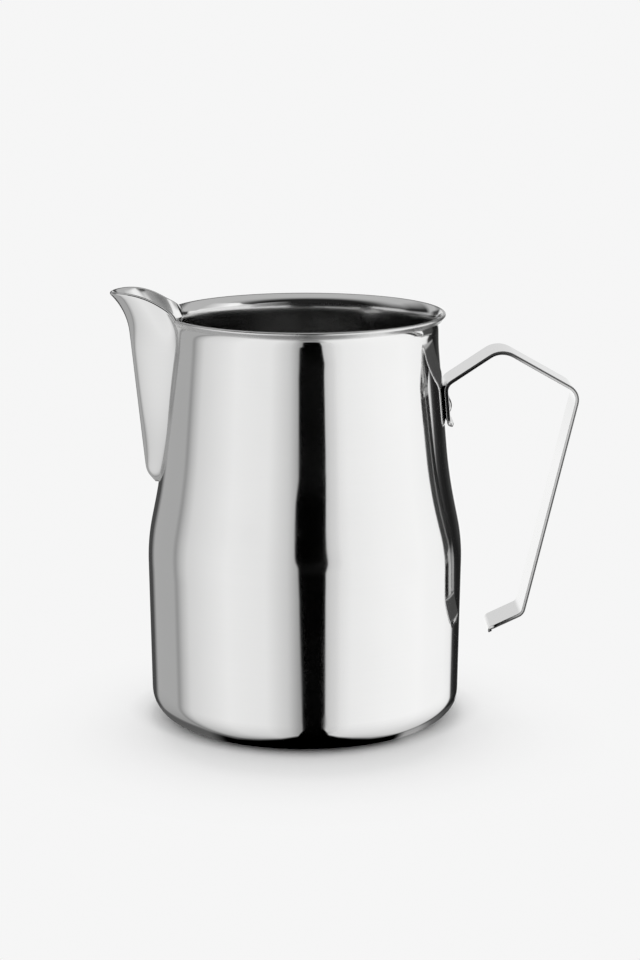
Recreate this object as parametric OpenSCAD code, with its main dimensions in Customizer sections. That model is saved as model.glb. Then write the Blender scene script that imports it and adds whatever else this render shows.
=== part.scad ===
// Milk frothing pitcher: a drawn steel cup with a welded-on spout and a bent strip handle.
// The cup stands on z = 0 with its axis on Z. The spout points along -X and the handle along +X.

/* [Cup] */
// Outer radius of the wall just above the bottom corner
base_r = 42.3; // [41.5:0.1:43]
// Outer radius where the lower wall meets the shoulder, before rounding
belly_r = 43.2; // [42.5:0.1:44]
// Height of that meeting point
belly_z = 49.5; // [47:0.5:52]
// Outer radius where the shoulder meets the neck cone, before rounding
shoulder_r = 39.45; // [39:0.05:40]
// Height of that meeting point
shoulder_z = 67.9; // [66:0.1:70]
// Outer radius of the neck under the lip
neck_r = 36.35; // [36:0.05:36.8]
// Height where the neck cone turns upright
neck_z = 103.5; // [102:0.5:105]
// Height where the lip starts to turn outward, before rounding
lip_z = 109.55; // [109:0.05:110.5]
// How far the lip turns outward
lip_out = 1.5; // [1:0.1:2]
// Thickness of the cup's sheet
wall = 1; // [0.8:0.1:1.2]
// Radius of the bottom corner
corner_r = 8; // [6:0.5:10]
// Radius of the pushed-up panel in the bottom
panel_r = 28; // [24:0.5:30]
// Height of that panel above the standing ring
panel_z = 0.6; // [0.4:0.1:1]

/* [Spout] */
// Height of the chin, where the spout's keel leaves the cup
chin_z = 64.5; // [63:0.5:66]
// Height where the seam reaches its lower width
seam_z = 84; // [82:0.5:86]
// Half width of the seam at that height
seam_w = 9.7; // [9:0.1:10.5]
// Half width that the seam gains up to the lip
seam_gain = 4.3; // [3:0.1:5]
// Extra half width where the seam follows the lip outward
lip_gain = 2.6; // [1.5:0.1:3]
// Distance of the tip from the cup's axis
tip_s = 53.1; // [51:0.1:55]
// Height of the tip
tip_z = 117.6; // [116:0.1:119]
// Thickness of the spout's sheet
spout_t = 1; // [0.8:0.1:1.1]
// How round the keel of the spout's V section is, as a share of its half width
keel_round = 0.55; // [0.3:0.05:0.8]
// How strongly the faces of the V sweep outward at the seam
root_sweep = 0.42; // [0:0.05:0.5]
// Height above which the V opens into a round mouth
open_z = 101; // [98:0.5:105]
// Width of the weld between the cup and the spout
weld_w = 0.8; // [0.6:0.1:1]
// How far that weld stands proud of the cup
weld_proud = 0.15; // [0.1:0.05:0.3]

/* [Handle] */
// Width of the strip
strip_w = 14; // [12:0.5:16]
// Thickness of the strip
strip_t = 1; // [0.8:0.1:1.2]
// Height of the tab's lower end
tab_z = 81.9; // [80:0.1:84]
// Length of the small lip that is turned out at each end of the strip
toe = 1.4; // [1:0.1:2]
// Radius of the strip's corners in plan
strip_corner = 3; // [1:0.5:4]
// Diameter of the weld nuggets in the tab
nugget_d = 4; // [3:0.1:5]
// Diameter of a nugget's head
head_d = 4.7; // [4.2:0.1:5.2]
// Height of a nugget's head
head_h = 0.9; // [0.5:0.1:1.1]
// Distance between the two nuggets
nugget_gap = 6.4; // [6:0.1:7]
// Height of the nuggets
nugget_z = 86.8; // [86:0.1:88]

/* [Hidden] */
$fn = 96;
ARC_STEPS = 6;
rim_end_z = lip_z + lip_out;
lip_turn = 45;
rim_top = rim_end_z + wall / 2 * (1 + cos(lip_turn));

// ---- plane curves ----
function unit(v) = v / norm(v);
function turned(v, a) = [v.x * cos(a) - v.y * sin(a), v.x * sin(a) + v.y * cos(a)];
function turn_angle(u, v) = atan2(u.x * v.y - u.y * v.x, u * v);

// The arc of radius r that rounds the corner q of the route p, q, s
function corner_arc(p, q, s, r, n) =
    let (u = unit(q - p), d = turn_angle(u, unit(s - q)), side = d > 0 ? 1 : -1)
    let (c = q - u * r * tan(abs(d) / 2) + turned(u, side * 90) * r)
    [for (i = [0:n]) c + turned(u, d * i / n - side * 90) * r];

// A route through pts with every inner corner rounded to its radius
function rounded(pts, radii, n = ARC_STEPS) = concat(
    [pts[0]],
    [for (i = [1:len(pts) - 2]) each corner_arc(pts[i - 1], pts[i], pts[i + 1], radii[i - 1], n)],
    [pts[len(pts) - 1]]
);

// The normal of the segment from a to b, on its left
function left_normal(a, b) = turned(unit(b - a), 90);

// The route moved sideways by d, to the left when d is positive
function moved_aside(pts, d) = let (last = len(pts) - 1) [
    for (i = [0:last])
        let (n1 = left_normal(pts[max(i - 1, 0)], pts[max(i, 1)]))
        let (n2 = left_normal(pts[min(i, last - 1)], pts[min(i + 1, last)]))
        pts[i] + (n1 + n2) * d / (1 + n1 * n2)
];

// Half a circle from a to b, bulging to the right of that direction
function half_circle(a, b, n = ARC_STEPS) = [
    for (i = [1:n - 1]) (a + b) / 2 + turned((a - b) / 2, i * 180 / n)
];

function reversed(pts) = [for (i = [len(pts) - 1:-1:0]) pts[i]];

// ---- cup ----
outer_line = rounded(
    [
        [0, panel_z], [panel_r - 1, panel_z], [panel_r + 1, 0], [base_r, 0],
        [belly_r, belly_z], [shoulder_r, shoulder_z], [neck_r, neck_z], [neck_r, lip_z],
        [neck_r + lip_out, rim_end_z]
    ],
    [2, 3, corner_r, 54, 140, 60, 4.4]
);
inner_line = moved_aside(outer_line, wall);
wall_table = [for (p = outer_line) if (p.y > corner_r) [p.y, p.x]];

// Outer radius of the cup at height z
function cup_r(z) = lookup(z, wall_table);
// Distance from the axis plane of a cup surface of radius r, at half width w
function chord_s(r, w) = sqrt(max(r * r - w * w, 0));

module cup_solid(line) {
    top = line[len(line) - 1];
    rotate_extrude() polygon(concat(line, [[0, top.y]]));
}

module cup_wall() {
    last = len(outer_line) - 1;
    rotate_extrude() polygon(concat(
        outer_line,
        half_circle(outer_line[last], inner_line[last]),
        reversed(inner_line)
    ));
}

// ---- spout ----
// How full the seam's outline is towards the chin; 0.5 makes it a half ellipse
seam_fullness = 0.8;
// How far below the lip the seam starts to follow it outward
flare_reach = 1.6;

// Half width of the seam at height z, for an outline that lies inset inside it
function seam_half(z, inset) =
    let (low = (seam_z - z) / (seam_z - chin_z - inset), up = (z - seam_z) / (rim_top - seam_z))
    let (flare = max(0, (z - lip_z + flare_reach) / (rim_top - lip_z + flare_reach)))
    z < seam_z
    ? (seam_w - inset) * pow(max(0, 1 - low * low), seam_fullness)
    : seam_w - inset + seam_gain * up * up + lip_gain * flare * flare;

// The keel rises from the chin, runs up almost straight and curls outward at the tip
keel_line = rounded(
    [[cup_r(chin_z), chin_z], [43.35, 68.2], [48, 112.5], [tip_s, tip_z]],
    [5, 17]
);
keel_table = [for (p = keel_line) [p.y, p.x]];
tip_lift = tip_z - rim_top;
// The spout's rows rise towards the keel above this height
lift_start = 98;
// The rim is highest where this angle passes 90 degrees, a little short of the tip
crest_turn = 110;
// How much wider than at lift_start the nose of the spout may grow
nose_gain = 0.6;
// How far out from the cup the spout's rows narrow from the seam's width to the nose's
root_reach = 0.9;

// Distance of the keel from the axis at height z
function keel_s(z) = lookup(z, keel_table);
// How much higher a row's keel is than its ends on the seam
function row_lift(z) = tip_lift * pow(max(0, (z - lift_start) / (rim_top - lift_start)), 2);
// Share of that lift at share x of the way from the seam to the keel
function lift_share(x) = sin(crest_turn * pow(x, 0.8)) / sin(crest_turn);
// How far out a V with a rounded keel reaches at the share v of its half width
function vee(v) =
    1 - (norm([keel_round, v]) - keel_round) / (norm([keel_round, 1]) - keel_round)
    - root_sweep * v * v * v * (1 - v);
// How far the section at height z has opened from a V into a round mouth
function opened(z) = let (x = min(1, max(0, (z - open_z) / (rim_top - open_z)))) x * x * (3 - 2 * x);

ROW_STEPS = 12;
ROWS = 20;
seam_low = chin_z + weld_w + 0.2;
// The channel's bottom lies this much higher than the chin's outside
channel_rise = 1.6;

// One row of the spout's surface, from the +Y end on the seam round the keel to the -Y end.
// skin is the distance inside the outer surface.
function spout_row(z, skin) =
    let (w0 = seam_half(z, weld_w), r = cup_r(z), lift = row_lift(z))
    let (s_in = chord_s(r - wall, w0), s_out = chord_s(r, w0), k = keel_s(z + lift) - skin)
    let (nose_w = min(w0, seam_half(min(z, lift_start), weld_w) + nose_gain), extra = w0 - nose_w)
    let (m = opened(z))
    let (half = [
        [-s_in, w0 - skin, z],
        for (j = [0:ROW_STEPS])
            let (t = j / ROW_STEPS, s = (k - s_out) * ((1 - m) * vee(1 - t) + m * sin(90 * t)))
            let (side = (1 - m) * (1 - t) + m * cos(90 * t))
            [
                -s_out - s,
                (nose_w - skin + extra * exp(-s / root_reach)) * side,
                z + lift * lift_share(sin(90 * t))
            ]
    ])
    concat(half, [for (j = [len(half) - 2:-1:0]) [half[j].x, -half[j].y, half[j].z]]);

function row_height(i, low) = low + (rim_top - low) * i / ROWS;

module spout_shell() {
    cols = 2 * (ROW_STEPS + 2) - 1;
    outside = [for (i = [0:ROWS]) each spout_row(row_height(i, seam_low), 0)];
    inside = [for (i = [0:ROWS]) each spout_row(row_height(i, seam_low + channel_rise), spout_t)];
    n = len(outside);
    top = ROWS * cols;
    polyhedron(
        points = concat(outside, inside),
        faces = concat(
            [for (i = [0:ROWS - 1], j = [0:cols - 2]) each two_triangles(
                i * cols + j, i * cols + j + 1, (i + 1) * cols + j + 1, (i + 1) * cols + j)],
            [for (i = [0:ROWS - 1], j = [0:cols - 2]) let (k = n + i * cols + j) each two_triangles(
                k, k + cols, k + cols + 1, k + 1)],
            [for (j = [0:cols - 2]) each two_triangles(
                top + j, top + j + 1, n + top + j + 1, n + top + j)],
            [for (i = [0:ROWS - 1]) each two_triangles(
                i * cols, (i + 1) * cols, n + (i + 1) * cols, n + i * cols)],
            [for (i = [0:ROWS - 1]) each two_triangles(
                (i + 1) * cols - 1, n + (i + 1) * cols - 1, n + (i + 2) * cols - 1, (i + 2) * cols - 1)],
            [for (j = [1:cols - 2]) [0, j + 1, j]],
            [for (j = [1:cols - 2]) [n, n + j, n + j + 1]],
            two_triangles(0, n, n + cols - 1, cols - 1)
        ),
        convexity = 6
    );
}

function two_triangles(a, b, c, d) = [[a, b, c], [a, c, d]];

SEAM_STEPS = 30;

// The outline of the opening in the cup wall, in Y and Z, closed above the lip
module seam_outline(inset) {
    low = chin_z + inset;
    side = [for (i = [0:SEAM_STEPS]) let (z = low + (rim_top - low) * pow(i / SEAM_STEPS, 1.4))
        [seam_half(z, inset), z]];
    top = [seam_half(rim_top, inset), rim_top + 2];
    polygon(concat(side, [top, [-top.x, top.y]], [for (i = [SEAM_STEPS:-1:1]) [-side[i].x, side[i].y]]));
}

// Stands a Y-Z outline up and carries it through the cup wall on the spout side
module through_spout_side() {
    past_cup = belly_r + 15;
    rotate([90, 0, -90]) linear_extrude(height = past_cup) mirror([1, 0]) children();
}

// ---- handle ----
neck_slope = atan((shoulder_r - neck_r) / (neck_z - shoulder_z));
tab_s = cup_r(nugget_z) + strip_t / 2;
function tab_at(z) = [tab_s - tan(neck_slope) * (z - nugget_z), z];
strip_line = rounded(
    [
        tab_at(tab_z) + [toe, -0.5], tab_at(tab_z), tab_at(92.6), [52.7, 102.5], [73.9, 90.5],
        [59.4, 29.1], [50.2, 24.8], [50.9, 24.8 - toe]
    ],
    [0.8, 3, 6, 4, 2.5, 0.8]
);

module strip_blank() {
    side_a = moved_aside(strip_line, strip_t / 2);
    side_b = moved_aside(strip_line, -strip_t / 2);
    rotate([90, 0, 0]) linear_extrude(height = strip_w, center = true)
        polygon(concat(side_a, reversed(side_b)));
}

// What is cut from a square corner to round it to radius r: the corner is at the origin and the
// strip lies in +X +Y of it
module corner_scrap(r) {
    margin = 1;
    difference() {
        translate([-margin, -margin]) square(r + margin);
        translate([r, r]) circle(r);
    }
}

module nugget_places() {
    for (side = [-1, 1])
        translate([tab_s, side * nugget_gap / 2, nugget_z]) rotate([0, 90 - neck_slope, 0]) children();
}

// ---- nodes ----
module body() {
    color("silver") difference() {
        cup_wall();
        through_spout_side() seam_outline(0);
    }
}

module spout() {
    color("lightgrey") spout_shell();
}

module spout_weld() {
    low = chin_z - 5;
    proud_line = [for (p = moved_aside(outer_line, -weld_proud)) if (p.y > low) p];
    inside_line = [for (p = inner_line) if (p.y > low - 5) p];
    color("dimgrey") intersection() {
        difference() {
            cup_solid(concat([[0, low]], proud_line));
            cup_solid(concat([[0, low - 1]], inside_line, [[neck_r, rim_top + 3]]));
        }
        through_spout_side() difference() {
            seam_outline(0);
            seam_outline(weld_w);
        }
    }
}

module handle() {
    // The foot's corners lie where its turned lip is nearest the cup, the tab's at its lower end
    foot_corner = [49.2, 20];
    tab_corner = [30, tab_z - 1];
    cut_height = 8;
    cut_reach = 14;
    color("gainsboro") difference() {
        strip_blank();
        nugget_places() cylinder(h = 6 * strip_t, d = nugget_d, center = true);
        for (m = [0, 1]) mirror([0, m, 0]) {
            translate([foot_corner.x, -strip_w / 2, foot_corner.y])
                linear_extrude(height = cut_height) corner_scrap(strip_corner);
            translate([tab_corner.x, -strip_w / 2, tab_corner.y])
                rotate([90, 0, 90]) linear_extrude(height = cut_reach) corner_scrap(strip_corner);
        }
    }
}

module handle_weld_nuggets() {
    face = strip_t / 2;
    root = -3 * strip_t;
    cap_r = (head_d * head_d / 4 + head_h * head_h) / (2 * head_h);
    cap_a = asin(head_d / 2 / cap_r);
    dome = [for (i = [0:8])
        let (a = cap_a * (1 - i / 8))
        [cap_r * sin(a), face + head_h - cap_r * (1 - cos(a))]];
    shank = [[0, root], [nugget_d / 2, root], [nugget_d / 2, face]];
    color("darkgrey") difference() {
        nugget_places() rotate_extrude() polygon(concat(shank, dome));
        cup_solid(outer_line);
    }
}

body();
spout();
spout_weld();
handle();
handle_weld_nuggets();
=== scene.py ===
"""Milk frothing pitcher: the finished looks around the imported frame.

Shapes are worked out in millimetres, with the cup's axis on Z, the spout along -X and the handle
along +X, and become metres when a mesh is made.
"""

import math

import bmesh
import bpy
import numpy as np
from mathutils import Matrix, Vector


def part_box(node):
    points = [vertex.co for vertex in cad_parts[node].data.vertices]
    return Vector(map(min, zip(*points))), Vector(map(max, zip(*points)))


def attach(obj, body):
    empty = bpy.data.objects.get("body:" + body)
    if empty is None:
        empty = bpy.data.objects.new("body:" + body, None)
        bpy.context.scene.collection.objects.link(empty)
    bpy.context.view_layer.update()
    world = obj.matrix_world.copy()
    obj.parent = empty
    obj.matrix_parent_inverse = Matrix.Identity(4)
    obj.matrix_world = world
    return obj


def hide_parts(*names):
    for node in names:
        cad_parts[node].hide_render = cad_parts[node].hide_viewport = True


MM = 0.001

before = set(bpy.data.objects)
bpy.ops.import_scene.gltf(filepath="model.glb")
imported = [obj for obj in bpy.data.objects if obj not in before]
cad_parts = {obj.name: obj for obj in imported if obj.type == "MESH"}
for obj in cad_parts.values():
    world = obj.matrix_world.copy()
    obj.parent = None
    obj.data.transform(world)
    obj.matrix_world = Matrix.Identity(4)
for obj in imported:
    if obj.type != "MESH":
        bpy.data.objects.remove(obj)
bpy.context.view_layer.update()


def node_box(node):
    """Lowest and highest corner of a CAD node in millimetres."""
    low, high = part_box(node)
    return np.array(low) / MM, np.array(high) / MM


# ---- driving sizes ----
_, body_high = node_box("body")
spout_low, spout_high = node_box("spout")
handle_low, handle_high = node_box("handle")

CLEAR = 0.01                     # how far the finished shapes stay inside the CAD's box
WALL = 1.0                       # thickness of the cup's and the spout's sheet
RIM_TURN = math.radians(45)      # how far the lip has turned outward where it ends
RIM_TOP = body_high[2]
RIM_END = RIM_TOP - WALL / 2 * (1 + math.cos(RIM_TURN))
LIP_OUT = 1.5                    # how far the lip turns outward
LIP_START = RIM_END - LIP_OUT
# Corners of the cup's outer line before they are rounded, as radius and height
BASE_R = 42.3
BELLY = (43.2, 49.5)
SHOULDER = (39.45, 67.9)
NECK_R, NECK_Z = 36.35, 103.5
CORNER_R = 8.0                   # rounding of the bottom corner
WALL_BENDS = [54, 140, 60, 4.4]  # and of the belly, the shoulder, the neck's top and the lip
PANEL_R = 28.0                   # pushed-up panel in the bottom
PANEL_Z = 0.6
PANEL_BENDS = [2, 3]
CUP_EASE = 1.2                   # length over which the outline's curvature changes

CHIN_Z = 64.5                    # where the spout's keel leaves the cup
SEAM_Z = 84.0                    # where the seam has its lower width
SEAM_W = 9.7                     # half width of the seam there
SEAM_GAIN = 4.3                  # half width gained up to the lip
LIP_GAIN = 2.6                   # half width gained where the seam follows the lip outward
FLARE = 1.6                      # how far below the lip that starts
SEAM_ROUND = 0.8                 # how round the seam's pointed lower end is, less is rounder
WELD_W = 0.8                     # width of the weld between the seam and the spout
TIP_S = -spout_low[0]
CREST = math.radians(110)        # the spout's rim is highest where this angle passes 90 degrees
TIP_Z = RIM_TOP + (spout_high[2] - RIM_TOP) * math.sin(CREST)
LIFT_START = 98.0                # the spout's rim lifts towards the tip above this height

STRIP_W = handle_high[1] - handle_low[1]
STRIP_T = 1.0
STRIP_CORNER = 3.0               # corners of the strip in plan
STRIP_EDGE = 0.08                # rounding of the strip's long edges
TORN_SHADE_AT = 0.08                  # the narrow side's torn half, rougher and painted dark as shade, starts this share of the way out from its middle
TAB_LOW, TAB_TOP = 81.9, 92.6    # heights of the tab's two ends
TOE = 1.4                        # length of the small lip turned out at each end of the strip
# The handle's corners from the top arm to the foot, as distance from the axis and height
APEX = (52.7, 102.5)
GRIP_TOP = (73.9, 90.5)
GRIP_LOW = (59.4, 29.1)
FOOT_END = (50.2, 24.8)
STRIP_BENDS = [0.8, 3, 6, 4, 2.5, 0.8]   # radii of the strip's bends from the tab's lip to the foot's
STRIP_EASE = 0.6                 # length over which the strip's curvature changes
NUGGET_Z = 86.8                  # height of both weld nuggets
NUGGET_GAP = 6.4                 # distance between them
HEAD_R, HEAD_H, SHANK_R = 2.35, 0.9, 2.0     # a nugget's head and shank


# ---- plane curves, as arrays of points ----
def unit(v):
    return v / np.linalg.norm(v, axis=-1, keepdims=True)


def turned(v, angle):
    c, s = math.cos(angle), math.sin(angle)
    return np.array([v[0] * c - v[1] * s, v[0] * s + v[1] * c])


def corner_arc(p, q, s, radius, steps=24):
    """The arc that rounds the corner q of the route p, q, s."""
    u, v = unit(q - p), unit(s - q)
    bend = math.atan2(u[0] * v[1] - u[1] * v[0], float(u @ v))
    side = math.copysign(math.pi / 2, bend)
    centre = q - u * radius * math.tan(abs(bend) / 2) + turned(u, side) * radius
    return [centre + turned(u, bend * i / steps - side) * radius for i in range(steps + 1)]


def rounded(points, radii):
    """A route through the points with every inner corner rounded to its radius."""
    points = [np.array(p, float) for p in points]
    route = [points[0]]
    for p, q, s, radius in zip(points, points[1:], points[2:], radii):
        route += corner_arc(p, q, s, radius)
    return np.array(route + [points[-1]])


def lengths(line):
    return np.concatenate([[0], np.cumsum(np.linalg.norm(np.diff(line, axis=0), axis=1))])


def at_lengths(line, places):
    along = lengths(line)
    return np.stack([np.interp(places, along, line[:, i]) for i in range(line.shape[1])], -1)


def even(line, spacing):
    total = lengths(line)[-1]
    return at_lengths(line, np.linspace(0, total, max(2, int(round(total / spacing)) + 1)))


def eased(line, window, spacing=0.1):
    """The route with its changes of curvature spread over the window, and its ends kept."""
    fine = even(line, spacing)
    half = int(window / spacing / 2)
    kernel = np.ones(2 * half + 1) / (2 * half + 1)
    for _ in range(2):
        start = 2 * fine[0] - fine[half:0:-1]
        end = 2 * fine[-1] - fine[-2:-half - 2:-1]
        padded = np.concatenate([start, fine, end])
        fine = np.stack([np.convolve(padded[:, i], kernel, "valid") for i in range(2)], -1)
    return fine


def left_normals(line):
    ahead = unit(np.gradient(line, axis=0))
    return np.stack([-ahead[:, 1], ahead[:, 0]], -1)


def normals_at(line, places):
    """Unit normals of the line, to its left, at the given lengths along it."""
    along, normals = lengths(line), left_normals(line)
    return unit(np.stack([np.interp(places, along, normals[:, i]) for i in range(2)], -1))


def bend_steps(line, window, turn, finest, widest):
    """For each point of the line the length in which it bends by turn, kept within limits."""
    ahead = np.gradient(line, axis=0)
    bend = np.abs(np.gradient(np.unwrap(np.arctan2(ahead[:, 1], ahead[:, 0])), lengths(line)))
    bend = np.convolve(bend, np.ones(window) / window, "same")
    return np.clip(turn / np.maximum(bend, 1e-6), finest, widest)


def spaced(along, step):
    """Places along a line whose spacing follows the step that each of its points asks for."""
    share = np.concatenate([[0], np.cumsum(np.diff(along) / step[1:])])
    return np.interp(np.linspace(0, share[-1], int(share[-1]) + 1), share, along)


def blend(a, b, c, t):
    """The curve from a to c that is drawn towards b."""
    return a * (1 - t) ** 2 + b * 2 * t * (1 - t) + c * t ** 2


def half_circle(a, b, steps):
    """The points between a and b on half a circle that bulges to the right of that direction."""
    middle, arm = (a + b) / 2, (a - b) / 2
    return np.array([middle + turned(arm, i * math.pi / steps) for i in range(1, steps)])


# ---- meshes ----
MERGE = 2e-6                     # points closer than this become one, in metres
TINY = 1e-7                      # shorter edges are dropped


class Shell:
    """Collects points and faces of one closed piece."""

    def __init__(self):
        self.points, self.faces, self.finishes = [], [], []
        self.count = 0

    def rows(self, points):
        """Adds a grid of points and returns their numbers in the same grid."""
        points = np.asarray(points, float)
        numbers = self.count + np.arange(points[..., 0].size).reshape(points.shape[:-1])
        self.points.append(points.reshape(-1, 3))
        self.count += numbers.size
        return numbers

    def skin(self, numbers, finish=0):
        """Covers a grid of point numbers with quads."""
        quads = np.stack([numbers[:-1, :-1], numbers[:-1, 1:], numbers[1:, 1:], numbers[1:, :-1]], -1)
        self.faces += quads.reshape(-1, 4).tolist()
        self.finishes += [finish] * quads[..., 0].size

    def seal(self, edge, finish=0):
        """Closes a sheet's free edge, whose points run along its outer side and back inside."""
        last = len(edge) - 1
        for k in range((last - 1) // 2):
            self.faces.append([int(edge[i]) for i in (k, k + 1, last - k - 1, last - k)])
            self.finishes.append(finish)

    def make(self, name, finishes, crease_angle=40):
        mesh = bpy.data.meshes.new(name)
        mesh.from_pydata((np.concatenate(self.points) * MM).tolist(), [], self.faces)
        mesh.polygons.foreach_set("material_index", self.finishes)
        mesh.update()
        for finish in finishes:
            mesh.materials.append(finish)
        piece = bpy.data.objects.new(name, mesh)
        bpy.context.scene.collection.objects.link(piece)
        welded = bmesh.new()
        welded.from_mesh(mesh)
        bmesh.ops.remove_doubles(welded, verts=welded.verts, dist=MERGE)
        bmesh.ops.dissolve_degenerate(welded, edges=welded.edges, dist=TINY)
        bmesh.ops.recalc_face_normals(welded, faces=welded.faces)
        limit = math.radians(crease_angle)
        for face in welded.faces:
            face.smooth = True
        for edge in welded.edges:
            edge.smooth = len(edge.link_faces) == 2 and edge.calc_face_angle(0) < limit
        welded.to_mesh(mesh)
        welded.free()
        return piece


def settle(piece, node):
    """Gives the piece its place in the frame."""
    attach(piece, "root")
    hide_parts(node)


# ---- the cup's outline ----
outer_fine = eased(rounded(
    [
        (0, PANEL_Z), (PANEL_R - 1, PANEL_Z), (PANEL_R + 1, 0), (BASE_R, 0), BELLY,
        SHOULDER, (NECK_R, NECK_Z), (NECK_R, LIP_START), (NECK_R + LIP_OUT, RIM_END),
    ],
    PANEL_BENDS + [CORNER_R] + WALL_BENDS,
), CUP_EASE)
outer_fine[:, 0] *= (body_high[1] - CLEAR) / outer_fine[:, 0].max()
wall_part = outer_fine[:, 1] > CORNER_R
wall_fine = outer_fine[wall_part]
wall_aside = left_normals(outer_fine)[wall_part]


def cup_r(z):
    """Outer radius of the cup at height z."""
    return np.interp(z, wall_fine[:, 1], wall_fine[:, 0])


def on_cup(y, z, depth=0.0):
    """A point of the cup's wall at y and height z, moved by depth from the outside into the sheet."""
    r = cup_r(z) + np.interp(z, wall_fine[:, 1], wall_aside[:, 0]) * depth
    height = z + np.interp(z, wall_fine[:, 1], wall_aside[:, 1]) * depth
    return np.stack([-chord(r, y), y + 0 * r, height], -1)


def seam_half(z, inset):
    """Half width of the spout's seam at height z, for an outline that lies inset inside it."""
    z = np.asarray(z, float)
    low = (SEAM_Z - z) / (SEAM_Z - CHIN_Z - inset)
    up = (z - SEAM_Z) / (RIM_TOP - SEAM_Z)
    flare = np.maximum(0, (z - LIP_START + FLARE) / (RIM_TOP - LIP_START + FLARE))
    below = (SEAM_W - inset) * np.maximum(0, 1 - low * low) ** SEAM_ROUND
    above = SEAM_W - inset + SEAM_GAIN * up * up + LIP_GAIN * flare * flare
    return np.where(z < SEAM_Z, below, above)


def chord(r, w):
    """Distance from the axis plane of a surface of radius r, at half width w."""
    return np.sqrt(np.maximum(r * r - w * w, 0))


COLUMNS = 216
ROW_STEP = 0.9                   # spacing of the cup's rows on its straight stretches
FINE_STEP = 0.35                 # and where it bends tightly
ROW_TURN = 0.11                  # between those, the bend from one row to the next in radians
CHIN_STEP, CHIN_GROWTH = 0.12, 0.2       # spacing at the chin, and its growth away from there
LIP_ARC = 12                     # points round a sheet's free edge
ROLLED_BAND = 1.5                # the rolled rim's finish starts this far below the lip's end
POLISHED_ROWS = 4                # rows inside the lip that are polished like the outside
PLAIN, INSIDE, UNDERSIDE, ROLLED = range(4)    # places of the cup's finishes in its list


def row_places(line):
    """Where along the outline the rows lie: closer where it bends, at the chin and at the lip."""
    along = lengths(line)
    step = bend_steps(line, 21, ROW_TURN, FINE_STEP, ROW_STEP)
    chin = along[np.argmax((line[:, 1] >= CHIN_Z) & (line[:, 0] > NECK_R))]
    places = spaced(along, np.minimum(step, CHIN_STEP + CHIN_GROWTH * np.abs(along - chin)))
    places[np.argmin(np.abs(places - chin))] = chin
    return places


def cup_section():
    """The cup's outer line from the axis to the lip, and that line carried round the lip and back."""
    places = row_places(outer_fine)
    outer = at_lengths(outer_fine, places)
    inner = outer + normals_at(outer_fine, places) * WALL
    inner[0, 0] = 0
    arc = half_circle(outer[-1], inner[-1], LIP_ARC + 1)
    return outer, np.concatenate([outer, arc, inner[::-1]])


def make_cup():
    shell = Shell()
    outer, section = cup_section()
    notched = (outer[:, 1] > CHIN_Z) & (outer[:, 0] > NECK_R - 1)
    cut = np.where(notched, seam_half(outer[:, 1], 0), 0)
    cut = np.concatenate([cut, np.full(LIP_ARC, cut[-1]), cut[::-1]])
    gap = np.arcsin(np.clip(cut / np.maximum(section[:, 0], 1e-9), 0, 1))[:, None]
    angle = gap + (2 * math.pi - 2 * gap) * np.linspace(0, 1, COLUMNS + 1)
    radius, height = section[:, :1], section[:, 1:]
    numbers = shell.rows(np.stack(
        [-radius * np.cos(angle), radius * np.sin(angle), height + 0 * angle], -1))
    corner = int(np.argmax((outer[:, 1] > PANEL_Z / 2) & (outer[:, 0] > PANEL_R + CORNER_R)))
    rolled = int(np.argmax(outer[:, 1] > outer[-1, 1] - ROLLED_BAND))
    rolled_end = len(outer) + LIP_ARC
    inside = rolled_end + POLISHED_ROWS
    shell.skin(numbers[:corner + 1], UNDERSIDE)
    shell.skin(numbers[corner:rolled + 1], PLAIN)
    shell.skin(numbers[rolled:rolled_end + 1], ROLLED)
    shell.skin(numbers[rolled_end:inside + 1], PLAIN)
    shell.skin(numbers[inside:], INSIDE)
    first_cut = int(np.argmax(cut > 0)) - 1
    for column in (0, COLUMNS):
        shell.seal(numbers[first_cut:len(numbers) - first_cut, column])
    return shell


# ---- the spout ----
# The keel's corners, as distance from the axis and height, and the radii that round them
KEEL_LOW = (43.35, 68.2)
KEEL_HIGH = (48, 112.5)
KEEL_BENDS = [5, 17]
KEEL_EASE = 1.6
keel_start = (float(cup_r(CHIN_Z)), CHIN_Z)
keel_line = eased(rounded([keel_start, KEEL_LOW, KEEL_HIGH, (TIP_S, TIP_Z)], KEEL_BENDS), KEEL_EASE)
RIM_RISE = 0.75 * WALL           # how far the rounded rim stands above the sheet's outer edge
TIP_LIFT = (spout_high[2] - RIM_END - RIM_RISE) * math.sin(CREST)
KEEL_ROUND = 0.55                # how round the V's keel is, as a share of its half width
ROOT_SWEEP = 0.42                # how strongly its faces sweep outward at the seam
OPEN_START = 101.0               # the V opens into a round mouth above this height
NOSE_GAIN = 0.6                  # half width that the nose gains over the seam below the lift
ROOT_REACH = 0.9                 # the spout passes from the seam's width to the nose's in about this
CREST_TURN = 0.8                 # how early the rim rises from the seam to its crest, less is earlier
CHIN_GAP = 0.05                  # how far above the weld the spout starts
SPOUT_ROWS = 110
ROW_CROWD = 1.25                 # its rows lie closer towards the chin
HALF_COLUMNS = 44


def vee(v):
    """How far out a V with a rounded keel reaches at the share v of its half width."""
    keel = math.hypot(KEEL_ROUND, 1) - KEEL_ROUND
    return 1 - (np.sqrt(KEEL_ROUND ** 2 + v ** 2) - KEEL_ROUND) / keel - ROOT_SWEEP * v ** 3 * (1 - v)


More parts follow.
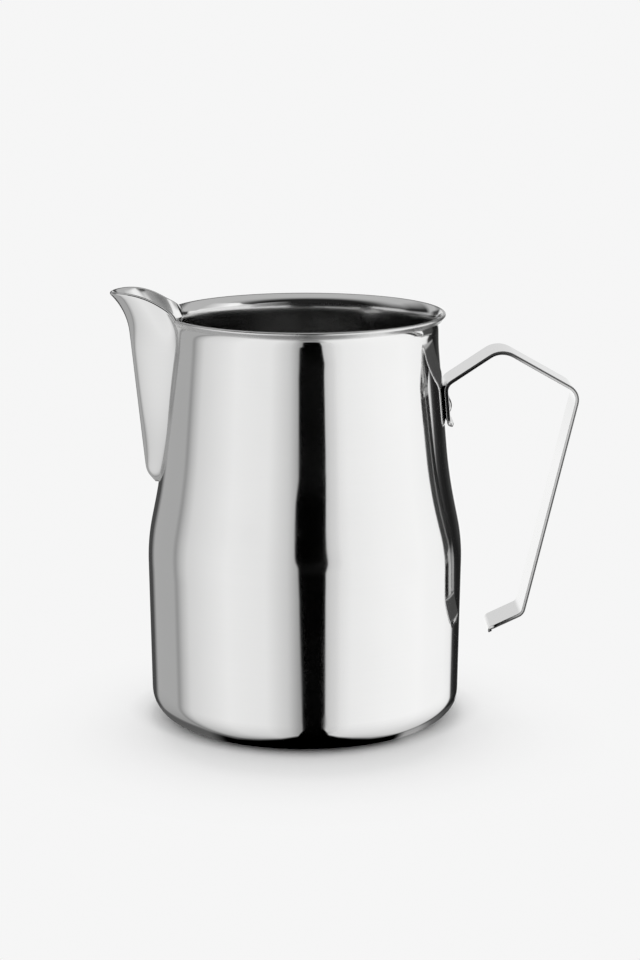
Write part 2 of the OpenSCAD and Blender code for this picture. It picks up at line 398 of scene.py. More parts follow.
def spout_grid(heights):
    """The spout's outer surface: one row of points for each height, from seam to seam."""
    z = np.asarray(heights)[:, None]
    w0 = seam_half(z, WELD_W)
    s_out = chord(cup_r(z), w0)
    lift = TIP_LIFT * np.maximum(0, (z - LIFT_START) / (RIM_END - LIFT_START)) ** 2
    keel = np.interp(z + lift, keel_line[:, 1], keel_line[:, 0])
    nose_w = np.minimum(w0, seam_half(np.minimum(z, LIFT_START), WELD_W) + NOSE_GAIN)
    open_up = np.clip((z - OPEN_START) / (RIM_END - OPEN_START), 0, 1)
    open_up = open_up * open_up * (3 - 2 * open_up)
    t = np.linspace(0, 1, HALF_COLUMNS + 1)[None, :]
    angle = t * math.pi / 2
    out = (1 - open_up) * vee(1 - t) + open_up * np.sin(angle)
    side = (1 - open_up) * (1 - t) + open_up * np.cos(angle)
    s = (keel - s_out) * out
    y = (nose_w + (w0 - nose_w) * np.exp(-s / ROOT_REACH)) * side
    share = np.sin(CREST * np.sin(angle) ** CREST_TURN) / math.sin(CREST)
    half = np.stack([-s_out - s, y, z + lift * share], -1)
    mirrored = half[:, -2::-1] * np.array([1, -1, 1])
    return np.concatenate([half, mirrored], 1)


def grid_normals(grid):
    """Unit normals of a grid of points, out of the spout."""
    across = np.gradient(grid, axis=1)
    up = np.gradient(grid, axis=0)
    normal = np.cross(across, up)
    return normal / np.maximum(np.linalg.norm(normal, axis=-1, keepdims=True), 1e-9)


def round_rim(outside, inside, steps, hint):
    """Rows of points that round a sheet's free edge from its outer to its inner side."""
    middle, arm = (outside + inside) / 2, (outside - inside) / 2
    along = np.gradient(middle, axis=0)
    up = unit(np.cross(along, arm))
    up = np.where(np.sum(up * hint, -1, keepdims=True) < 0, -up, up)
    size = np.linalg.norm(arm, axis=-1, keepdims=True)
    turn = np.linspace(0, math.pi, steps + 2)[1:-1, None, None]
    return middle + arm * np.cos(turn) + up * size * np.sin(turn)


def spout_height(share):
    low = CHIN_Z + WELD_W + CHIN_GAP
    return low + (RIM_END - low) * share


def sheet_depth(z):
    """Thickness of the spout's sheet, which is less where its two sides meet at the chin."""
    return np.minimum(WALL, 0.45 * seam_half(z, WELD_W))


def make_spout():
    shell = Shell()
    heights = spout_height(np.linspace(0, 1, SPOUT_ROWS + 1) ** ROW_CROWD)
    outer = spout_grid(heights)
    inner = outer - grid_normals(outer) * sheet_depth(heights)[:, None, None]
    arc = round_rim(outer[-1], inner[-1], LIP_ARC, outer[-1] - outer[-3])
    numbers = shell.rows(np.concatenate([outer, arc, inner[::-1]]))
    inside = len(outer) + len(arc) + POLISHED_ROWS - 1
    shell.skin(numbers[:inside + 1], 0)
    shell.skin(numbers[inside:], 1)
    for column in (0, -1):
        shell.seal(numbers[:, column])
    shell.skin(numbers[[0, -1]], 0)
    return shell


# ---- the weld between the cup and the spout ----
STATIONS = 120
STATION_CROWD = 1.4              # the stations lie closer towards the chin
FILLET = 0.22                    # how far the bead reaches onto the spout
BITE = 0.3                       # how far it reaches onto the cup
SUNK = 0.02                      # its edges lie this deep in both sheets


def weld_section(cup_edge, row, normals, z):
    """One section of the bead, from the cup to the spout: its outer points and its inner points.

    cup_edge is its edge on the cup, row and normals are the spout's points and normals at height z.
    """
    run = lengths(row)
    reached = min(FILLET, 0.4 * run[-1])
    on_spout = at_lengths(row, [reached])[0]
    normal = normals[min(HALF_COLUMNS, int(np.searchsorted(run, reached)))]
    corner = row[0]
    depth = sheet_depth(z)
    start = np.array([cup_edge[0], min(cup_edge[1], RIM_END)])
    gap = math.hypot(*(start - corner[1:]))
    near = 1 - min(FILLET / max(gap, 1e-6), 0.9)
    band = start + (corner[1:] - start) * near * np.linspace(0, 1, 6)[:, None]
    flat = on_cup(band[:, 0], band[:, 1])
    flat[0] = on_cup(start[0], start[1], SUNK)
    turn = blend(flat[-1], corner, on_spout, np.linspace(0, 1, 7)[:, None])
    turn[-1] -= normal * SUNK
    outside = np.concatenate([flat[:-1], turn])
    inside = blend(
        on_cup(start[0], start[1], WALL - SUNK),
        on_cup(max(corner[1] - depth * 0.9, 0), corner[2], WALL),
        on_spout - normal * (depth - SUNK),
        np.linspace(0, 1, len(outside))[:, None],
    )
    return outside, inside


def make_weld():
    """A band along the seam that carries on the cup's wall and turns sharply into the spout."""
    shell = Shell()
    share = np.linspace(0, 1, STATIONS + 1) ** STATION_CROWD
    z_cup = CHIN_Z + (RIM_END - CHIN_Z) * share
    z_spout = spout_height(share)
    edge = np.stack([seam_half(z_cup, 0), z_cup], -1)
    away = -left_normals(edge)
    away = np.where(away[:, :1] < -1e-9, -away, away)
    cup_edge = edge + unit(away) * BITE
    grid = spout_grid(z_spout)
    sections = map(weld_section, cup_edge, grid[:, :HALF_COLUMNS + 1], grid_normals(grid), z_spout)
    outside, inside = (np.array(points) for points in zip(*sections))
    rim = round_rim(outside[-1], inside[-1], LIP_ARC, outside[-1] - outside[-3])
    half = LIP_ARC // 2
    outside = np.concatenate([outside, rim[:half]])
    inside = np.concatenate([inside, rim[:half - 1:-1]])
    flip = np.array([1, -1, 1])
    outside = np.concatenate([outside[:0:-1] * flip, outside])
    inside = np.concatenate([inside[:0:-1] * flip, inside])
    numbers = shell.rows(np.concatenate([outside, inside[:, ::-1], outside[:, :1]], 1))
    shell.skin(numbers, 0)
    for end in (0, -1):
        shell.seal(numbers[end, :-1])
    return shell


# ---- the handle ----
neck_slope = math.atan((SHOULDER[0] - NECK_R) / (NECK_Z - SHOULDER[1]))
tab_s = float(cup_r(NUGGET_Z)) + STRIP_T / 2


def tab_at(z):
    """A point of the strip's centreline on the tab, which leans with the cup's neck."""
    return np.array([tab_s - math.tan(neck_slope) * (z - NUGGET_Z), z])


def strip_line():
    """The strip's centreline, from the tab's lower end to the foot's end."""
    return eased(rounded(
        [
            tab_at(TAB_LOW) + [TOE, -0.5], tab_at(TAB_LOW), tab_at(TAB_TOP), APEX, GRIP_TOP,
            GRIP_LOW, FOOT_END, (FOOT_END[0] + 0.7, FOOT_END[1] - TOE),
        ],
        STRIP_BENDS,
    ), STRIP_EASE, 0.05)


STRIP_TURN = 0.1                 # the strip's bend from one section to the next in radians
STRIP_FINE, STRIP_STEP = 0.15, 1.0           # smallest and largest spacing of its sections
END_STEP, END_GROWTH = 0.06, 0.18            # spacing at its ends, and its growth away from them
FLAT = np.linspace(0, 1, 7)[:-1]             # points of half a face, over its width
QUARTER = np.linspace(0, math.pi / 2, 6)     # points of a rounded edge, as angles
SIDE = len(FLAT) + len(QUARTER)              # where the quarter's sheared side starts
QUARTER_COUNT = SIDE + 3                     # points of a quarter of the section


def strip_section(half_w, half_t):
    """The strip's outline across its length: places over its width and over its thickness."""
    edge = min(STRIP_EDGE, half_t)
    y = np.concatenate([
        FLAT * (half_w - edge), [half_w - 1.15 * edge], half_w - edge + np.sin(QUARTER) * edge,
        [half_w, half_w]])
    t = np.concatenate([
        np.full(len(FLAT) + 1, half_t), half_t - edge + np.cos(QUARTER) * edge,
        [0.9 * (half_t - edge), TORN_SHADE_AT * half_t]])
    return np.concatenate([y, y[::-1], -y[1:], -y[::-1]]), np.concatenate([t, -t[::-1], -t[1:], t[::-1]])


def strip_rows():
    """The strip's sections along its centreline, narrowed and thinned where its ends are rounded."""
    line = strip_line()
    along = lengths(line)
    step = bend_steps(line, 15, STRIP_TURN, STRIP_FINE, STRIP_STEP)
    from_end = np.minimum(along, along[-1] - along)
    places = spaced(along, np.minimum(step, END_STEP + END_GROWTH * from_end))
    centre, aside = at_lengths(line, places), normals_at(line, places)
    near = np.minimum(places, along[-1] - places)
    short = np.clip(STRIP_CORNER - near, 0, STRIP_CORNER)
    half_w = STRIP_W / 2 - STRIP_CORNER + np.sqrt(STRIP_CORNER ** 2 - short ** 2)
    thin = np.clip(STRIP_EDGE - near, 0, STRIP_EDGE)
    half_t = STRIP_T / 2 - STRIP_EDGE + np.sqrt(STRIP_EDGE ** 2 - thin ** 2)
    rows = []
    for middle, out, w, h in zip(centre, aside, half_w, half_t):
        y, t = strip_section(w, h)
        rows.append(np.stack([middle[0] + out[0] * t, y, middle[1] + out[1] * t], -1))
    return np.array(rows)


def make_handle():
    """The strip, whose narrow sides are torn by the shear in their outer half, which is rougher there
    and painted dark as shade.
    """
    shell = Shell()
    numbers = shell.rows(strip_rows())
    other = 3 * QUARTER_COUNT - 1
    shell.skin(numbers[:, :SIDE + 1], 0)
    # the second finish, on the outer half of each narrow side, is painted dark as shade
    shell.skin(numbers[:, SIDE:QUARTER_COUNT], 1)
    shell.skin(numbers[:, QUARTER_COUNT - 1:other + 1], 0)
    shell.skin(numbers[:, other:other + 3], 1)
    shell.skin(numbers[:, other + 2:], 0)
    for end in (0, -1):
        shell.faces.append(numbers[end, :-1].tolist())
        shell.finishes.append(0)
    return shell


# ---- the two weld nuggets that hold the tab ----
DOME_STEPS = 14
RING_STEPS = 48


def make_nuggets():
    shell = Shell()
    face = STRIP_T / 2
    dome_r = (HEAD_R ** 2 + HEAD_H ** 2) / (2 * HEAD_H)
    dome_angles = np.linspace(0, math.asin(HEAD_R / dome_r), DOME_STEPS + 1)
    outline = [(dome_r * math.sin(a), face + HEAD_H - dome_r * (1 - math.cos(a))) for a in dome_angles]
    outline += [(SHANK_R, face - 0.1), (SHANK_R, -face), (0, -face)]
    turn = np.linspace(0, 2 * math.pi, RING_STEPS + 1)
    axis = np.array([math.cos(neck_slope), 0, math.sin(neck_slope)])
    up = np.array([-math.sin(neck_slope), 0, math.cos(neck_slope)])
    ring = np.cos(turn)[:, None] * np.array([0, 1, 0]) + np.sin(turn)[:, None] * up
    for side in (-1, 1):
        centre = np.array([tab_s, side * NUGGET_GAP / 2, NUGGET_Z])
        shell.skin(shell.rows([centre + axis * h + ring * r for r, h in outline]), 0)
    return shell


# ---- node helpers ----
class Nodes:
    """Short names for the node arithmetic that the light and the materials need."""

    def __init__(self, owner):
        owner.use_nodes = True
        self.nodes, self.links = owner.node_tree.nodes, owner.node_tree.links
        self.nodes.clear()

    def new(self, kind, **settings):
        node = self.nodes.new("ShaderNode" + kind)
        for name, value in settings.items():
            setattr(node, name, value)
        return node

    def feed(self, socket, value):
        """Gives a socket another socket's value, or a plain one; a colour socket takes a brightness."""
        if isinstance(value, bpy.types.NodeSocket):
            self.links.new(value, socket)
        elif socket.type == "RGBA":
            socket.default_value = (value, value, value, 1)
        else:
            socket.default_value = value

    def shader(self, kind, **inputs):
        """A new shader with some of its inputs fed."""
        node = self.new(kind)
        for name, value in inputs.items():
            self.feed(node.inputs[name], value)
        return node.outputs[0]

    def math(self, operation, *values):
        node = self.new("Math", operation=operation)
        for i, value in enumerate(values):
            self.feed(node.inputs[i], value)
        return node.outputs["Value"]

    def ramp(self, value, stops, smooth=False):
        """Brightness that follows the stops (place, brightness) of a value."""
        low, high = stops[0][0], stops[-1][0]
        place = self.new("MapRange")
        self.feed(place.inputs["Value"], value)
        place.inputs["From Min"].default_value = low
        place.inputs["From Max"].default_value = high
        node = self.new("ValToRGB")
        self.links.new(place.outputs["Result"], node.inputs["Fac"])
        if smooth:
            node.color_ramp.interpolation = "EASE"
        elements = node.color_ramp.elements
        elements.remove(elements[-1])
        for i, (at, brightness) in enumerate(stops):
            share = (at - low) / (high - low)
            element = elements[0] if i == 0 else elements.new(share)
            element.position = share
            element.color = (brightness, brightness, brightness, 1)
        return node.outputs["Color"]

    def mix(self, share, a, b):
        """a where share is 0, b where it is 1."""
        return self.math("MULTIPLY_ADD", share, self.math("SUBTRACT", b, a), a)

    def mix_shaders(self, share, a, b):
        """Shader a where share is 0, b where it is 1."""
        node = self.new("MixShader")
        for socket, value in zip(node.inputs, (share, a, b)):
            self.links.new(value, socket)
        return node.outputs["Shader"]

    def square_sum(self, a, b):
        return self.math("ADD", self.math("MULTIPLY", a, a), self.math("MULTIPLY", b, b))

    def azimuth(self, x, y):
        """Degrees from the front, which is towards -Y, and positive towards +X."""
        return self.math("DEGREES", self.math("ARCTAN2", x, self.math("MULTIPLY", y, -1.0)))

    def split(self, vector):
        node = self.new("SeparateXYZ")
        self.links.new(vector, node.inputs["Vector"])
        return [node.outputs[axis] for axis in "XYZ"]

    def vector(self, *values):
        node = self.new("CombineXYZ")
        for socket, value in zip(node.inputs, values):
            self.feed(socket, value)
        return node.outputs["Vector"]

    def noise(self, vector, scale, detail=2.0, roughness=0.5):
        node = self.new("TexNoise")
        self.feed(node.inputs["Vector"], vector)
        node.inputs["Scale"].default_value = scale
        node.inputs["Detail"].default_value = detail
        node.inputs["Roughness"].default_value = roughness
        return node.outputs["Fac"]

    def finish(self, kind, surface):
        self.links.new(surface, self.new(kind).inputs["Surface"])


# ---- materials ----
# How many grain lines there are in a metre across the grain, and how many breaks along it
ACROSS, ALONG = 6500.0, 35.0
# Turn of each family of hairline scratches, and the noise value above which one shows
SCRATCHES = [((0.3, 0.5, 0.7), 0.73), ((1.9, 0.2, 2.4), 0.74)]
SCRATCH_SCALE = (40, 2600, 90)
SCRATCH_EDGE = 0.03
WIPED_SCALE = 55.0               # wiped areas in a metre
WIPED = [(0, 0), (0.45, 0), (0.7, 1), (1, 1)]
SHIFT_WIPED, SHIFT_LINES = 0.03, 0.02    # how much the colour varies with those areas and the lines


def grain_vector(tree, place, grain):
    """A place stretched along the grain: lines round the axis, rings, or lines along the strip."""
    x, y, z = tree.split(place)
    if grain == "rings":
        out = tree.math("SQRT", tree.square_sum(x, y))
        stretched = (out, ACROSS), (x, ALONG), (y, ALONG)
    elif grain == "strip":
        stretched = (x, ALONG), (y, ACROSS), (z, ALONG)
    else:
        stretched = (x, ALONG), (y, ALONG), (z, ACROSS)
    return tree.vector(*(tree.math("MULTIPLY", value, scale) for value, scale in stretched))


def scratches(tree, place, turn, least):
    """Thin sparse scratches that run in one direction, as a value from 0 to 1."""
    turned_place = tree.new("Mapping", vector_type="POINT")
    tree.links.new(place, turned_place.inputs["Vector"])
    turned_place.inputs["Rotation"].default_value = turn
    turned_place.inputs["Scale"].default_value = SCRATCH_SCALE
    value = tree.noise(turned_place.outputs["Vector"], 1.0, 1.0)
    return tree.ramp(value, [(0, 0), (least, 0), (least + SCRATCH_EDGE, 1), (1, 1)])


def steel(name, level, roughness, grain, depth, cloud=0.02, wear=0.03):
    """Stainless steel with fine grain lines, hairline scratches and wiped areas.

    level is its colour's red and green, and its blue. depth is the grain's, in micrometres. cloud and
    wear are how much the grain and the scratches roughen it.
    """
    material = bpy.data.materials.new(name)
    tree = Nodes(material)
    shader = tree.new("BsdfPrincipled")
    shader.inputs["Metallic"].default_value = 1.0
    place = tree.new("TexCoord").outputs["Object"]
    lines = tree.noise(grain_vector(tree, place, grain), 1.0, 3.0, 0.6)
    broad = tree.noise(place, WIPED_SCALE, 3.0)
    wiped = tree.ramp(broad, WIPED, smooth=True)
    hair = tree.math("MAXIMUM", *(scratches(tree, place, turn, least) for turn, least in SCRATCHES))
    dull = tree.math("MULTIPLY_ADD", lines, cloud, tree.math("MULTIPLY", wiped, cloud))
    dull = tree.math("MULTIPLY_ADD", hair, wear, dull)
    tree.feed(shader.inputs["Roughness"], tree.math("ADD", dull, roughness - cloud / 2))
    shift = tree.math("MULTIPLY_ADD", broad, SHIFT_WIPED, tree.math("MULTIPLY", lines, SHIFT_LINES))
    shift = tree.math("SUBTRACT", shift, (SHIFT_WIPED + SHIFT_LINES) / 2)
    tint = tree.new("CombineColor")
    for socket, value in zip(tint.inputs, (level[0], level[0], level[1])):
        tree.feed(socket, tree.math("ADD", shift, value))
    tree.feed(shader.inputs["Base Color"], tint.outputs["Color"])
    bump = tree.new("Bump")
    bump.inputs["Strength"].default_value = 1.0
    bump.inputs["Distance"].default_value = depth * 1e-6
    tree.feed(bump.inputs["Height"], tree.math("SUBTRACT", lines, tree.math("MULTIPLY", hair, 0.5)))
    tree.feed(shader.inputs["Normal"], bump.outputs["Normal"])
    tree.finish("OutputMaterial", shader.outputs["BSDF"])
    return material


POLISHED = steel("polished_steel", (0.78, 0.777), 0.06, "round", 0.5)
SPOUT_STEEL = steel("spout_steel_finish", (0.75, 0.747), 0.07, "round", 0.5)
SATIN = steel("satin_steel", (0.66, 0.657), 0.16, "round", 3.0, cloud=0.05, wear=0.08)
TURNED = steel("turned_steel", (0.6, 0.597), 0.26, "rings", 8.0, cloud=0.1, wear=0.1)
WELD = steel("weld_steel_finish", (0.72, 0.715), 0.14, "strip", 3.0, cloud=0.06)
STRIP = steel("strip_steel_finish", (0.76, 0.757), 0.06, "strip", 0.7, cloud=0.03, wear=0.05)
RIM_EDGE = steel("rim_edge_steel", (0.7, 0.697), 0.24, "rings", 1.0, cloud=0.06, wear=0.05)
# The torn outer half of the strip's narrow sides: rougher steel whose dark colour is painted shade
SHEARED_AND_SHADED = steel("sheared_edge_painted_shade", (0.2, 0.199), 0.18, "strip", 1.0, cloud=0.12, wear=0.05)

cup = make_cup().make("pitcher_cup", [POLISHED, SATIN, TURNED, RIM_EDGE])
settle(cup, "body")
spout = make_spout().make("pitcher_spout", [SPOUT_STEEL, POLISHED])
settle(spout, "spout")
weld = make_weld().make("spout_seam_weld", [WELD])
settle(weld, "spout_weld")
handle = make_handle().make("strip_handle", [STRIP, SHEARED_AND_SHADED])
settle(handle, "handle")
nuggets = make_nuggets().make("handle_nuggets", [WELD])
settle(nuggets, "handle_weld_nuggets")


# ---- floor ----
BACKGROUND = 0.92                # brightness of the plain backdrop
FLOOR_ALBEDO = 0.8
FLOOR_R = 6.0
FLOOR_Z = -0.0002                # just under the standing ring
# The shade under the foot, as polished metal sees it: its outer radius in tenths of a metre and its
# brightness, both by azimuth in degrees from the front
FOOT_EDGE = [
    (-180, 0.45), (-80, 0.45), (-50, 0.43), (-42, 0.42), (-30, 0.409), (-20, 0.418), (-11, 0.436),
    (-3.2, 0.468), (-2.3, 0.6), (7.4, 0.6), (8.3, 0.472), (12, 0.447), (18, 0.428), (26, 0.413),
    (40, 0.406), (48, 0.415), (60, 0.425), (76, 0.46), (180, 0.46),
]
FOOT_GLOW = [
    (-180, 0.1), (-44, 0.12), (-36, 0), (39, 0),
    (44, 0.4), (52, 0.4), (62, 0.15), (76, 0.07), (180, 0.07),
]
FOOT_BLUR = 0.008                # how softly that shade ends, in tenths of a metre
# What is left of the light close to the foot, over the distance from the axis in metres
NEAR_FOOT = [(0.04, 0.62), (0.0445, 0.75), (0.0475, 0.84), (0.051, 0.9), (0.056, 0.95), (0.064, 1)]
# The soft shadow that the camera sees fades into the backdrop over the distance from its middle, in
# shares of its reach to the side and to the front, and over the distance from the axis
SHADOW_MIDDLE_Y = -0.022
SHADOW_REACH = (0.048, 0.045)
SHADOW_FADE = [(0, 0), (0.5, 0), (0.75, 0.12), (0.9, 0.45), (1.1, 0.68), (1.35, 0.88), (1.7, 1)]
FOOT_FADE = [(0.042, 0), (0.045, 0.4), (0.05, 0.75), (0.06, 0.9), (0.075, 1)]


def floor_in_mirror(tree, x, y, out):
    """What polished faces see of the floor: the shade under the foot, and past it the light tent."""
    azimuth = tree.azimuth(x, y)
    past_edge = tree.math("SUBTRACT", tree.math("MULTIPLY", out, 10.0), tree.ramp(azimuth, FOOT_EDGE))
    shade = tree.ramp(past_edge, [(-FOOT_BLUR, 1), (FOOT_BLUR, 0)])
    clear = tree.shader("BsdfTransparent", Color=tree.ramp(out, NEAR_FOOT))
    dark = tree.shader("Emission", Color=tree.ramp(azimuth, FOOT_GLOW))
    return tree.mix_shaders(shade, clear, dark)


def floor_in_view(tree, x, y, out):
    """What the camera sees of the floor: pale paper that fades into the even backdrop."""
    across = tree.math("DIVIDE", x, SHADOW_REACH[0])
    ahead = tree.math("DIVIDE", tree.math("SUBTRACT", y, SHADOW_MIDDLE_Y), SHADOW_REACH[1])
    from_middle = tree.math("SQRT", tree.square_sum(across, ahead))
    fade = tree.math("MINIMUM", tree.ramp(from_middle, SHADOW_FADE), tree.ramp(out, FOOT_FADE))
    paper = tree.shader("BsdfDiffuse", Color=FLOOR_ALBEDO)
    return tree.mix_shaders(fade, paper, tree.shader("Emission", Color=BACKGROUND))


def make_floor():
    bpy.ops.mesh.primitive_circle_add(
        vertices=96, radius=FLOOR_R, fill_type="NGON", location=(0, 0, FLOOR_Z))
    floor = bpy.context.object
    floor.name = "floor"
    material = bpy.data.materials.new("floor_paper")
    tree = Nodes(material)
    x, y, _ = tree.split(tree.new("NewGeometry").outputs["Position"])
    out = tree.math("SQRT", tree.square_sum(x, y))
    glossy = tree.new("LightPath").outputs["Is Glossy Ray"]
    seen = tree.mix_shaders(glossy, floor_in_view(tree, x, y, out), floor_in_mirror(tree, x, y, out))
    tree.finish("OutputMaterial", seen)
    floor.data.materials.append(material)


# ---- the light tent round the object ----
# Brightness of its screens by azimuth in degrees from the front, towards the handle when positive:
# a screen on either side, with a dark space behind each
TENT = [
    (-180, 0.16), (-168, 0.07), (-154, 0.07), (-145, 0.46), (-114, 0.47), (-110, 0.34), (-104, 0.58),
    (-96, 0.8), (-60, 1.02), (-30, 0.97), (-14, 0.72), (-5.2, 0.38), (14.4, 0.38), (22, 0.9),
    (32, 1.03), (60, 1.11), (90, 1.15), (112, 1.1), (122, 1.03), (125, 0.9), (128, 0.06),
    (134, 0.02), (142, 0.015), (148, 0.03), (156, 0.06), (160, 0.1), (165, 0.45), (174, 0.5),
    (180, 0.16),
]
# Low down the right screen's far edge reaches further round, by this many degrees over elevation
REACH_ROUND = [(-90, 0), (-38, 4), (-18, 12), (-15, 11), (-9, 0), (90, 0)]
FAR_EDGE = [(-180, 0), (100, 0), (120, 1), (180, 1)]
# In its upper part, which starts over HIGH_SHARE, the right screen is uneven
HIGH_TENT = [
    (-180, 0.5), (58, 0.8), (64, 1.12), (73, 1.15), (82, 0.95), (92, 0.78), (112, 0.5), (180, 0.5),
]
HIGH_SHARE = [(-90, 0), (12, 0), (20, 1), (90, 1)]
HIGH_SIDE = [(-180, 0), (45, 0), (60, 1), (180, 1)]
# The dark slit between the two front screens. Its left edge leans: degrees left of the front over
# elevation, in tens. Its lower end is round about SLIT_MIDDLE, with corners SLIT_HALF to either side.
SLIT_RIGHT = [(-180, 1), (17, 1), (18.5, 0), (180, 0)]
SLIT_LEAN = [
    (-90, 0.34), (-19.3, 0.35), (-16.8, 0.57), (0, 0.64), (2.8, 0.79), (4.5, 0.86), (9, 0.9), (90, 0.9),
]
SLIT_EDGE = 0.5                  # half the width of that edge in degrees
SLIT_LOW = [(-90, 0), (-54, 0), (-47, 1), (90, 1)]
SLIT_MIDDLE, SLIT_HALF = 4.6, 9.0
SLIT_CORNER = 5.0                # how much higher, in degrees, the slit ends at its corners
# How the light fades towards the floor close to the object, by elevation
LOW_LIGHT = [(-90, 0.2), (-72, 0.3), (-65, 0.7), (-58, 0.95), (-52, 1), (90, 1)]
# Upper edge of the screens, as elevation over azimuth, in shares of a right angle
SCREEN_TOP = [
    (-180, 0.13), (-150, 0.14), (-142, 0.11), (-107, 0.11), (-98, 0.15), (5, 0.16), (14, 0.17),
    (31, 0.2), (50, 0.25), (58, 0.28), (66, 0.38), (100, 0.4), (112, 0.15), (180, 0.13),
]
TOP_BLUR = 2.5                   # half the height of that edge in degrees
# The dark opening above the front screens: its centre and reach in degrees, and the light round it
DARK_CENTRE = (-8.0, 27.0)
DARK_REACH = (71.0, 27.0)
ROUND_DARK = [(0, 0.02), (0.5, 0.02), (0.8, 0.1), (1.0, 0.24), (1.35, 0.44), (1.9, 0.56), (4, 0.56)]
# The left screens' upper edge is lost in the dark over this elevation, which is higher by LEFT_DIP in
# tens of degrees
LEFT_RISE = [(-90, 0.05), (13, 0.05), (34, 1), (90, 1)]
LEFT_DIP = [(-180, 0.4), (-114, 0.4), (-104, 0), (180, 0)]
LEFT_SIDE = [(-180, 0), (-146, 0), (-138, 1), (0, 1), (14, 0), (180, 0)]
# High up behind the object it is dark again
BEHIND = [(-180, 1), (-162, 1), (-155, 0), (136, 0), (146, 1), (180, 1)]
BEHIND_RISE = [(-90, 0), (10, 0), (18, 0.85), (42, 0.83), (75, 0.75), (86, 0), (90, 0)]


def slit_share(tree, azimuth, elevation):
    """1 in the slit between the front screens, 0 elsewhere."""
    past_left = tree.math("MULTIPLY_ADD", tree.ramp(elevation, SLIT_LEAN), 10.0, azimuth)
    between = tree.math("MULTIPLY", tree.ramp(azimuth, SLIT_RIGHT),
                        tree.ramp(past_left, [(-SLIT_EDGE, 0), (SLIT_EDGE, 1)]))
    aside = tree.math("DIVIDE", tree.math("SUBTRACT", azimuth, SLIT_MIDDLE), SLIT_HALF)
    aside = tree.math("MULTIPLY", aside, aside)
    low_end = tree.math("MULTIPLY_ADD", tree.math("MULTIPLY", aside, aside), -SLIT_CORNER, elevation)
    return tree.math("MULTIPLY", between, tree.ramp(low_end, SLIT_LOW))


def screen_light(tree, azimuth, elevation):
    """Brightness of the screens that stand round the object."""
    further = tree.math("MULTIPLY", tree.ramp(azimuth, FAR_EDGE), tree.ramp(elevation, REACH_ROUND))
    light = tree.ramp(tree.math("SUBTRACT", azimuth, further), TENT)
    high = tree.math("MULTIPLY", tree.ramp(azimuth, HIGH_SIDE), tree.ramp(elevation, HIGH_SHARE))
    light = tree.mix(high, light, tree.ramp(azimuth, HIGH_TENT))
    slit = slit_share(tree, azimuth, elevation)
    light = tree.math("MULTIPLY", light, tree.math("SUBTRACT", 1.0, slit))
    return tree.math("MULTIPLY", light, tree.ramp(elevation, LOW_LIGHT))


def ceiling_light(tree, azimuth, elevation):
    """Brightness above the screens."""
    across = tree.math("DIVIDE", tree.math("SUBTRACT", azimuth, DARK_CENTRE[0]), DARK_REACH[0])
    upward = tree.math("DIVIDE", tree.math("SUBTRACT", elevation, DARK_CENTRE[1]), DARK_REACH[1])
    light = tree.ramp(tree.square_sum(across, upward), ROUND_DARK)
    dipped = tree.math("MULTIPLY_ADD", tree.ramp(azimuth, LEFT_DIP), -10.0, elevation)
    left = tree.mix(tree.ramp(azimuth, LEFT_SIDE), 1.0, tree.ramp(dipped, LEFT_RISE))
    light = tree.math("MULTIPLY", light, left)
    behind = tree.math("MULTIPLY", tree.ramp(azimuth, BEHIND), tree.ramp(elevation, BEHIND_RISE))
    return tree.math("MULTIPLY", light, tree.math("SUBTRACT", 1.0, behind))


def make_world():
    """The tent for polished faces, and even light for the paper and the camera."""
    world = bpy.data.worlds.new("light_tent")
    bpy.context.scene.world = world
    world.cycles.sampling_method = "NONE"
    tree = Nodes(world)
    x, y, z = tree.split(tree.new("TexCoord").outputs["Generated"])
    azimuth = tree.azimuth(x, y)
    height = tree.math("MINIMUM", tree.math("MAXIMUM", z, -1.0), 1.0)
    elevation = tree.math("DEGREES", tree.math("ARCSINE", height))
    top = tree.math("MULTIPLY", tree.ramp(azimuth, SCREEN_TOP), 90.0)
    over = tree.ramp(tree.math("SUBTRACT", elevation, top), [(-TOP_BLUR, 0), (TOP_BLUR, 1)], smooth=True)
    screens = screen_light(tree, azimuth, elevation)
    tent = tree.mix(over, screens, ceiling_light(tree, azimuth, elevation))
    path = tree.new("LightPath").outputs
    on_paper = tree.shader("Background", Color=BACKGROUND / FLOOR_ALBEDO)
    light = tree.mix_shaders(path["Is Diffuse Ray"], tree.shader("Background", Color=tent), on_paper)
    plain = tree.shader("Background", Color=BACKGROUND)
    tree.finish("OutputWorld", tree.mix_shaders(path["Is Camera Ray"], light, plain))


# ---- cards that stand nearer than the tent ----
# For each its distance behind the axis and its low and high corner in x and z, in millimetres, then its
# opacity and brightness over x, and a second brightness over z that multiplies the first
CARDS = {
    "back_card": (
        400, (-90, -150), (190, 200),
        [(-90, 0, 1), (-60, 1, 1), (160, 1, 1), (190, 0, 1)],
        [(-150, 1.05), (20, 1.05), (110, 0.8), (200, 0.8)],
    ),
    "dark_card": (
        -411, (-470, 148), (91, 420),
        [(-470, 0, 0.02), (-400, 1, 0.02), (80, 1, 0.02), (91, 0, 0.02)],
        [(148, 1), (420, 1)],
    ),
    "side_card": (
        -412, (-950, 180), (-390, 420),
        [(-950, 0, 0.02), (-800, 1, 0.02), (-430, 1, 0.02), (-390, 0, 0.02)],
        [(148, 1), (420, 1)],
    ),
    "dim_card": (
        -411, (85, 186), (520, 420),
        [(85, 0, 0.05), (130, 1, 0.12), (300, 1, 0.35), (420, 1, 0.45), (520, 0, 0.5)],
        [(186, 1), (420, 1)],
    ),
    "front_card": (
        -470, (103, -330), (225, 240),
        [(103, 0, 0.6), (107, 1, 0.66), (140, 1, 0.76), (175, 1, 0.83), (205, 0, 0.92)],
        [(-330, 1), (240, 1)],
    ),
}
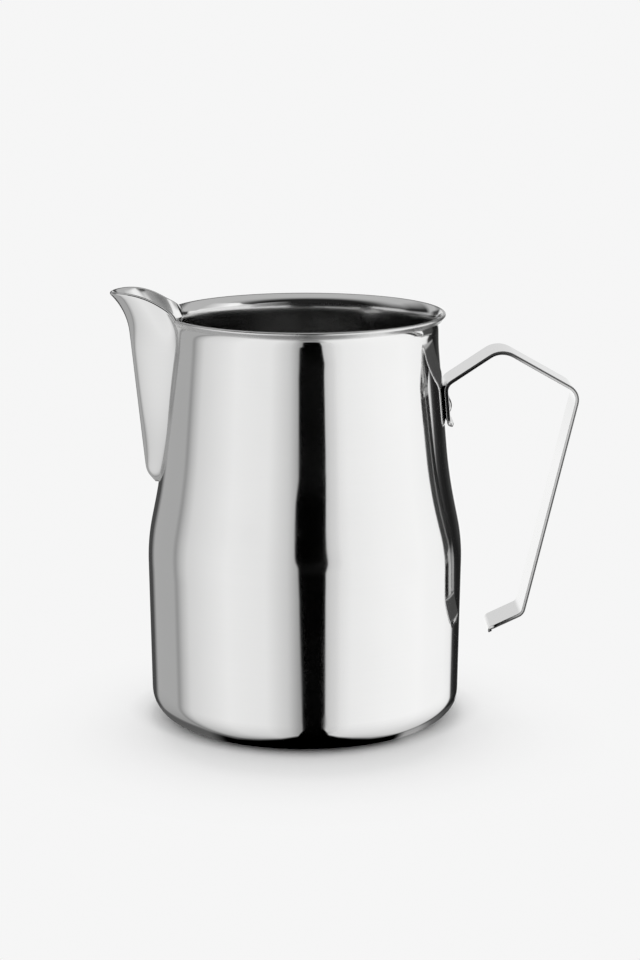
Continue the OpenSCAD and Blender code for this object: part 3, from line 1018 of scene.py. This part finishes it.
# The front card's edges lean to the right, in tenths of a metre over z in millimetres
FRONT_CARD_LEAN = [(-330, 0), (25, 0), (66, 0.15), (100, 0.12), (135, 0.07), (240, 0.07)]


def make_card(name, away, low, high, across, upward):
    """A glowing screen in a plane across Y that only polished faces see."""
    corners = [(low[0], low[1]), (high[0], low[1]), (high[0], high[1]), (low[0], high[1])]
    mesh = bpy.data.meshes.new(name)
    mesh.from_pydata([(x * MM, away * MM, z * MM) for x, z in corners], [], [(0, 1, 2, 3)])
    card = bpy.data.objects.new(name, mesh)
    bpy.context.scene.collection.objects.link(card)
    material = bpy.data.materials.new(name)
    tree = Nodes(material)
    x, _, z = tree.split(tree.new("NewGeometry").outputs["Position"])
    x, z = tree.math("DIVIDE", x, MM), tree.math("DIVIDE", z, MM)
    if name == "front_card":
        x = tree.math("MULTIPLY_ADD", tree.ramp(z, FRONT_CARD_LEAN), -100.0, x)
    opacity = tree.ramp(x, [(at, solid) for at, solid, _ in across])
    brightness = tree.ramp(x, [(at, glow) for at, _, glow in across])
    glow = tree.shader("Emission", Strength=tree.math("MULTIPLY", brightness, tree.ramp(z, upward)))
    tree.finish("OutputMaterial", tree.mix_shaders(opacity, tree.shader("BsdfTransparent"), glow))
    mesh.materials.append(material)
    card.visible_camera = False
    card.visible_diffuse = False
    card.visible_shadow = False


# ---- camera ----
CAMERA_PLACE = Vector((-14.3, -699.9, 213.2)) * MM
CAMERA_AIM = Vector((0.0256, 0.9781, -0.2065))
CAMERA_LENS = 98.1


def make_camera():
    data = bpy.data.cameras.new("camera")
    data.lens = CAMERA_LENS
    data.sensor_width = 36
    data.clip_start = 0.01
    camera = bpy.data.objects.new("camera", data)
    bpy.context.scene.collection.objects.link(camera)
    camera.location = CAMERA_PLACE
    camera.rotation_euler = CAMERA_AIM.to_track_quat("-Z", "Y").to_euler()
    bpy.context.scene.camera = camera


make_floor()
make_world()
for card_name, card in CARDS.items():
    make_card(card_name, *card)
make_camera()
bpy.context.scene.view_settings.view_transform = "Standard"
